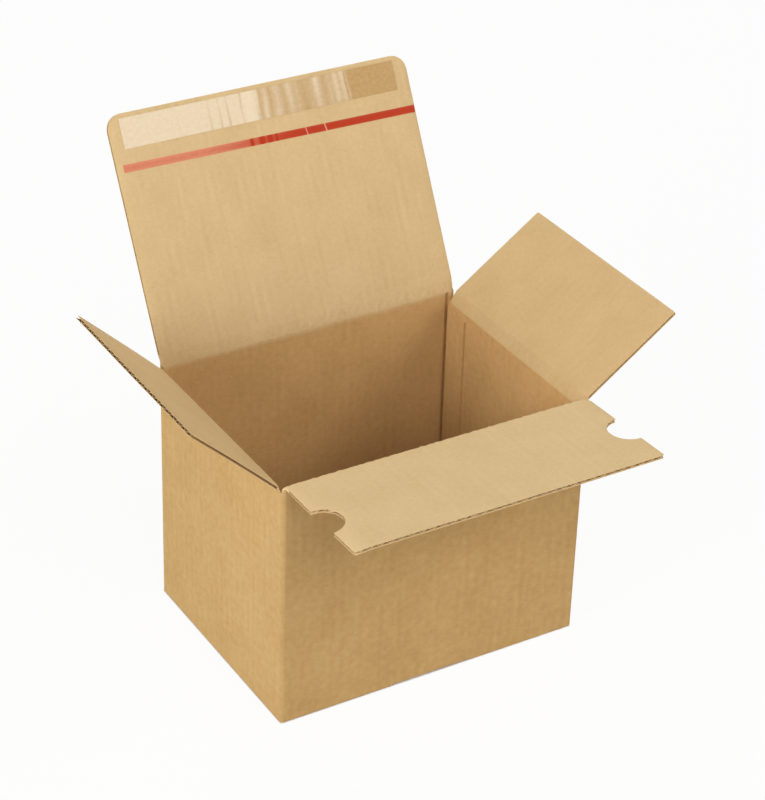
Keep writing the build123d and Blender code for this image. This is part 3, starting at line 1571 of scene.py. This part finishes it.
    def film_relief(self, place: np.ndarray, across: np.ndarray) -> tuple[np.ndarray, np.ndarray]:
        """Lift and wrinkle the release liner.

        Args:
            place: Distance from its left end.
            across: Share of its width, from its lower edge.

        Returns:
            The share by which the film has come off, which also holds a painted reflection of the lamps, and
            its height over the adhesive.
        """
        near, far = self.wander_lengths
        slanted = across * self.wander_slant + place / near
        at = place + self.wander * np.sin(slanted) * np.sin(place / far)
        lifted = up_to(at, self.lifted_length, self.lifted_blur)
        striped = up_to(at, self.striped_length, self.striped_blur)
        lift = self.lifted_share * lifted + self.striped_share * striped + self.stuck_share
        height = self.stuck_height + self.lifted_height * lifted
        for wrinkle in self.wrinkles:
            hill = bell(at, wrinkle.place, wrinkle.width)
            swing = np.cos(across * self.fade_slant + wrinkle.place)
            fade = 1.0 - self.wrinkle_fade + self.wrinkle_fade * swing
            lift = lift + wrinkle.lift * hill * fade
            height = height + self.wrinkle_scale * wrinkle.height * hill * fade
        near, far = self.ripple_lengths
        ripple = self.ripple * np.sin(at / near + across * self.ripple_slant) * np.sin(at / far + 0.5)
        return lift, np.clip(height + ripple, self.least_height, None)

    def build_liner(self) -> bpy.types.Object:
        """Make the release liner, lifted and milky at its left with a painted reflection of the lamps, stuck
        down and wrinkled at its right.

        Returns:
            The liner.
        """
        bottom = self.liner_top - self.liner_width
        margins = (self.left_margin, self.right_margin)
        edges = (bottom, self.liner_top)
        piece, board, free = self.band("wrinkled_release_liner", margins, edges, self.liner_steps)
        place = self.lid_half_length - board[:, 0] - self.left_margin
        lift, height = self.film_relief(place, (board[:, 1] - bottom) / self.liner_width)
        under = -self.adhesive_thickness - height
        board[:, 2] = np.where(free, under - self.film_thickness, under)
        self.lay(piece, board, SiliconedFilm().build())
        self.attribute(piece, WHITENING_AND_HIGHLIGHT_SHARE, lift)
        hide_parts("release_liner")
        return piece

    def tape_wear(self, place: np.ndarray, across: np.ndarray) -> tuple[np.ndarray, np.ndarray]:
        """Fade and nick the tear tape.

        Args:
            place: Distance from the lid's left end.
            across: Share of half its width, from its middle.

        Returns:
            The share by which its print has faded, with a painted highlight along its rims, and the share of
            bare film.
        """
        grain = np.random.default_rng(self.grain_seed).random(len(place))
        fade = 1.0 - smooth_step(place, self.fade_start, self.fade_end)
        fade = fade * (self.fade_base + self.fade_grain * grain + self.fade_rim * across**2)
        # Painted highlight: the rims are made paler.
        fade = fade + self.print_grain * grain + self.painted_rim_highlight * across**6
        for at, width in self.smudges:
            fade = fade - self.smudge_strength * bell(place, at, width)
        wear = np.zeros(len(place))
        for at, width in self.nicks:
            wear = wear + self.nick_strength * bell(place - at + across * self.nick_slant, 0.0, width)
        return fade, wear

    def build_tape(self) -> bpy.types.Object:
        """Make the red tear tape, faded at its left, with nicks where it has been creased.

        Returns:
            The tape.
        """
        middle = self.lid_depth - self.tape_edge_distance
        half = self.tape_width / 2
        margins = (self.tape_left_margin, self.tape_right_margin)
        edges = (middle - half, middle + half)
        piece, board, free = self.band("red_tear_tape", margins, edges, self.tape_steps)
        across = (board[:, 1] - middle) / half
        crown = self.tape_thickness * (1.0 - self.tape_crown * across**4)
        board[:, 2] = np.where(free, -crown, 0.0)
        fade, wear = self.tape_wear(self.lid_half_length - board[:, 0], across)
        self.lay(piece, board, TearTapeFilm().build(), self.tape_skew)
        self.attribute(piece, WHITENING_AND_HIGHLIGHT_SHARE, fade)
        self.attribute(piece, WEAR_SHARE, wear)
        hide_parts("tear_tape")
        return piece


@dataclass
class Carton:
    """The walls and base of the box, with its four flaps and their creases, in millimetres."""

    lid_half_length: float = 99.8
    lid_depth: float = 144.0
    lid_corner_radius: float = 10.0
    lid_bow: float = 0.15
    front_half_length: float = 98.6
    front_depth: float = 74.8
    front_twist: float = -0.1
    front_curl: Curl = Curl(-1, 0.7, 10.0, 24.0)
    notch_radius: float = 12.2
    notch_reach: float = 12.2
    notch_distance: float = 40.5
    side_half_length: float = 71.4
    side_depth: float = 74.2
    side_edge_crush: float = 0.4
    side_crush_depth: float = 1.55
    # How far the middle of each side flap stands off its plane, and its outer corners, one each way
    side_bow: dict[Side, float] = field(default_factory=lambda: {Side.LEFT: -0.3, Side.RIGHT: 0.0})
    side_twist: dict[Side, float] = field(default_factory=lambda: {Side.LEFT: 0.4, Side.RIGHT: 0.1})
    # The front and back walls, at the top where their flaps fold
    long_lip_half_length: float = 99.8
    paper: dict[Paper, bpy.types.Material] = field(default_factory=dict)

    def make_papers(self) -> None:
        """Make the liners and the cut edge that the whole box shares."""
        outside, inside = ("#C9A973", "#B5915A"), ("#E9CFA0", "#D2B582")
        outer_shives = Specks("#84633A", 6.5, 0.36, 0.5)
        inner_shives = replace(outer_shives, colour="#97744A")
        outer = KraftLiner("kraft_outer_liner", *outside, outer_shives, Coordinates.BLANK, 0.31)
        inner = KraftLiner("kraft_inner_liner", *inside, inner_shives, Coordinates.BLANK, 0.73)
        # The lid shows its flutes through the liner; the smaller flaps were pressed flatter.
        plain = replace(inner, name="kraft_plain_inner_liner", seed=0.42, ghost_weight=0.05)
        # The side flaps' browner inner liner is a copy of the lid's, darkened as painted shade.
        brown = replace(plain, name="kraft_brown_inner_liner", pale="#E2C593", deep="#CBAB78", seed=0.18)
        # The inside of the walls carries painted shade from just under the creases downward.
        walls = KraftLiner(
            "kraft_wall_liner",
            *outside,
            outer_shives,
            Coordinates.WALLS,
            0.0,
            *inside,
            mottle_size=4.0,
            cloud_weight=0.65,
            mottle_weight=0.9,
            fibre_weight=0.6,
            fibre_height=0.014,
        )
        finishes = {
            Paper.OUTER: outer,
            Paper.INNER: inner,
            Paper.PLAIN_INNER: plain,
            Paper.BROWN_INNER: brown,
            Paper.WALLS: walls,
            Paper.CUT: CutBoard("cut_liner_rim", "#D2B481", "#AC8A56"),
            # The fluting's dark colour is partly its own and partly painted shade of the hollows between the
            # liners.
            Paper.FLUTING: CutBoard("recycled_fluting", "#846236", "#634725"),
        }
        self.paper = {paper: finish.build() for paper, finish in finishes.items()}

    def board_papers(self, inner: Paper) -> list[bpy.types.Material]:
        """List the materials of a piece of board in the order of its slots.

        Args:
            inner: The paper of its inner side.

        Returns:
            The inner, outer, cut and fluting papers.
        """
        return [self.paper[paper] for paper in (inner, Paper.OUTER, Paper.CUT, Paper.FLUTING)]

    def dress_walls(self) -> bpy.types.Object:
        """Give the folded walls and base their paper.

        Returns:
            The walls.
        """
        walls = frame["nodes"]["box_body"]
        walls.data.materials.clear()
        walls.data.materials.append(self.paper[Paper.WALLS])
        return walls

    def build_lid(self) -> list[bpy.types.Object]:
        """Make the lid with its crease, closing strip and tear tape.

        Returns:
            The lid's pieces.
        """
        crease = Crease.of("lid_fold")
        form = BoardForm(self.lid_half_length, self.lid_depth, bow=self.lid_bow)
        outline = Outline(self.lid_half_length, self.lid_depth, self.lid_corner_radius)
        papers = self.board_papers(Paper.INNER)
        flap = CorrugatedFlap("corrugated_lid", "lid_flap", crease, outline, form, papers)
        lengths = (self.long_lip_half_length, self.lid_half_length, CARTON_LENGTH / 2)
        band = CreaseBand("lid_crease", crease, *lengths, papers)
        strip = ClosingStrip(crease, form, self.lid_depth, self.lid_half_length)
        return [flap.build(), band.build(), strip.build_adhesive(), strip.build_liner(), strip.build_tape()]

    def build_front(self) -> list[bpy.types.Object]:
        """Make the notched front flap and its crease.

        Returns:
            The front flap's pieces.
        """
        crease = Crease.of("front_fold")
        sizes = (self.front_half_length, self.front_depth)
        form = BoardForm(*sizes, twist=self.front_twist, curls=(self.front_curl,))
        outline = Outline(
            *sizes,
            notch_radius=self.notch_radius,
            notch_reach=self.notch_reach,
            notch_distance=self.notch_distance,
        )
        papers = self.board_papers(Paper.PLAIN_INNER)
        flap = CorrugatedFlap("corrugated_front_flap", "front_flap", crease, outline, form, papers)
        lengths = (self.long_lip_half_length, self.front_half_length, CARTON_LENGTH / 2)
        band = CreaseBand("front_crease", crease, *lengths, papers)
        return [flap.build(), band.build()]

    def build_side(self, side: Side) -> list[bpy.types.Object]:
        """Make a side flap and its crease.

        Args:
            side: The end of the box that carries it.

        Returns:
            The side flap's pieces.
        """
        crease = Crease.of(f"{side.value}_fold")
        sizes = (self.side_half_length, self.side_depth)
        warp = {"bow": self.side_bow[side], "twist": self.side_twist[side]}
        form = BoardForm(*sizes, **warp, edge_crush=self.side_edge_crush)
        # Their inner side gets the copy of the inner liner darkened as painted shade.
        papers = self.board_papers(Paper.BROWN_INNER)
        name, node = f"corrugated_{side.value}_flap", f"{side.value}_flap"
        flap = CorrugatedFlap(name, node, crease, Outline(*sizes), form, papers)
        lengths = (self.side_half_length, self.side_half_length, CARTON_WIDTH / 2)
        depth = self.side_crush_depth
        band = CreaseBand(f"{side.value}_crease", crease, *lengths, papers, crush_depth=depth)
        return [flap.build(), band.build()]


@dataclass(frozen=True)
class Softbox:
    """Square soft lamp that points at the box. Places and sizes are in metres, its power in watts."""

    name: str
    place: tuple[float, float, float]
    power: float
    colour: str = "#FFFFFF"
    size: float = 1.1
    aim_height: float = 0.1

    def hang(self) -> bpy.types.Object:
        """Hang the lamp in its place.

        Returns:
            The lamp.
        """
        data = bpy.data.lights.new(self.name, "AREA")
        data.shape = "SQUARE"
        data.size = self.size
        data.energy = self.power
        data.color = linear(self.colour)[:3]
        lamp = add_object(self.name, data)
        lamp.location = self.place
        aim = Vector((0, 0, self.aim_height)) - Vector(self.place)
        lamp.rotation_euler = aim.to_track_quat("-Z", "Y").to_euler()
        return lamp


@dataclass
class Studio:
    """Pale floor, soft lamps, white surround and the photograph's view.

    Angles are in degrees and lengths in metres, but for the sensor and the inset in millimetres.
    """

    image_size: tuple[float, float] = (765.0, 800.0)
    focal_pixels: float = 2601.0
    azimuth: float = -31.66
    elevation: float = 31.14
    roll: float = 1.94
    distance: float = 1.637
    target: tuple[float, float, float] = (0.0640, 0.0924, 0.080)
    sensor_width: float = 36.0
    clip_start: float = 0.01
    floor_size: float = 8.0
    floor_drop: float = 0.0002
    floor_glow: float = 0.93
    shaded_inset: float = 0.2
    surround_strength: float = 0.23
    lamps: tuple[Softbox, ...] = (
        Softbox("left_softbox", (-2.1, -0.5, 0.9), 35.3),
        Softbox("right_softbox", (1.5, -1.4, 1.4), 19.1, "#FFF8F0"),
        Softbox("front_softbox", (-0.3, -1.7, 1.7), 12.2),
        # The back would stand in the dark without a lamp of its own.
        Softbox("back_softbox", (0.5, 2.3, 0.7), 16.0),
    )

    def build_camera(self) -> bpy.types.Object:
        """Set the camera at the photograph's viewing angle.

        Returns:
            The camera.
        """
        turn, lift, roll = (math.radians(a) for a in (self.azimuth, self.elevation, self.roll))
        level = math.cos(lift)
        back = Vector((math.sin(turn) * level, -math.cos(turn) * level, math.sin(lift)))
        right = Vector((0, 0, 1)).cross(back).normalized()
        up = back.cross(right)
        rolled_right = right * math.cos(roll) + up * math.sin(roll)
        rolled_up = up * math.cos(roll) - right * math.sin(roll)
        place = Vector(self.target) + back * self.distance
        data = bpy.data.cameras.new("view_camera")
        data.sensor_width = self.sensor_width
        # The sensor's width spans the image's longer side.
        data.lens = self.focal_pixels * self.sensor_width / max(self.image_size)
        data.clip_start = self.clip_start
        camera = add_object("view_camera", data)
        axes = Matrix((rolled_right, rolled_up, back)).transposed()
        camera.matrix_world = Matrix.Translation(place) @ axes.to_4x4()
        bpy.context.scene.camera = camera
        return camera

    def build_floor(self) -> bpy.types.Object:
        """Lay the pale floor, which shows white but keeps the object's shadow.

        Returns:
            The floor.
        """
        outer = (self.floor_size / 2, self.floor_size / 2)
        # The part under the box has no glow, so that the seams of the base look dark.
        inner = tuple((side / 2 - self.shaded_inset) * MM for side in (CARTON_LENGTH, CARTON_WIDTH))
        corners = []
        for x, y in (outer, inner):
            corners += [(-x, -y, 0), (x, -y, 0), (x, y, 0), (-x, y, 0)]
        sides = [(i, (i + 1) % 4, (i + 1) % 4 + 4, i + 4) for i in range(4)]
        mesh = bpy.data.meshes.new("studio_floor")
        mesh.from_pydata(corners, [], [(4, 5, 6, 7), *sides])
        floor = add_object("studio_floor", mesh)
        floor.location.z = -self.floor_drop
        mesh.materials.append(FloorPaper("shaded_paper_floor", 0.0).build())
        mesh.materials.append(FloorPaper("pale_paper_floor", self.floor_glow).build())
        for face in mesh.polygons:
            face.material_index = min(face.index, 1)
        return floor

    def build_light(self) -> None:
        """Hang the lamps and set the surround, which shows white and lights the box softly."""
        for lamp in self.lamps:
            lamp.hang()
        world = bpy.data.worlds.new("studio_surround")
        bpy.context.scene.world = world
        world.use_nodes = True
        tree = world.node_tree
        tree.nodes.clear()
        path = add_node(tree, "ShaderNodeLightPath")
        shown = path.outputs["Is Camera Ray"]
        for ray in ("Is Glossy Ray", "Is Transmission Ray"):
            either = {0: shown, 1: path.outputs[ray]}
            shown = add_node(tree, "ShaderNodeMath", {"operation": "MAXIMUM"}, either).outputs[0]
        strength = add_node(
            tree, "ShaderNodeMapRange", {1: 0.0, 2: 1.0, 3: self.surround_strength, 4: 1.0}, {0: shown}
        )
        white = {"Color": linear("#FFFFFF")}
        light = add_node(tree, "ShaderNodeBackground", white, {"Strength": strength.outputs[0]})
        add_node(tree, "ShaderNodeOutputWorld", links={"Surface": light.outputs[0]})
        bpy.context.scene.view_settings.view_transform = "Standard"


def main() -> None:
    """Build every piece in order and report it."""
    logging.basicConfig(level=logging.INFO, format="%(message)s")
    carton = Carton()
    carton.make_papers()
    pieces = [carton.dress_walls(), *carton.build_lid(), *carton.build_front()]
    for side in Side:
        pieces += carton.build_side(side)
    for piece in pieces:
        log.info("%s: %d faces", piece.name, len(piece.data.polygons))
    studio = Studio()
    studio.build_camera()
    studio.build_floor()
    studio.build_light()


if __name__ == "__main__":
    main()
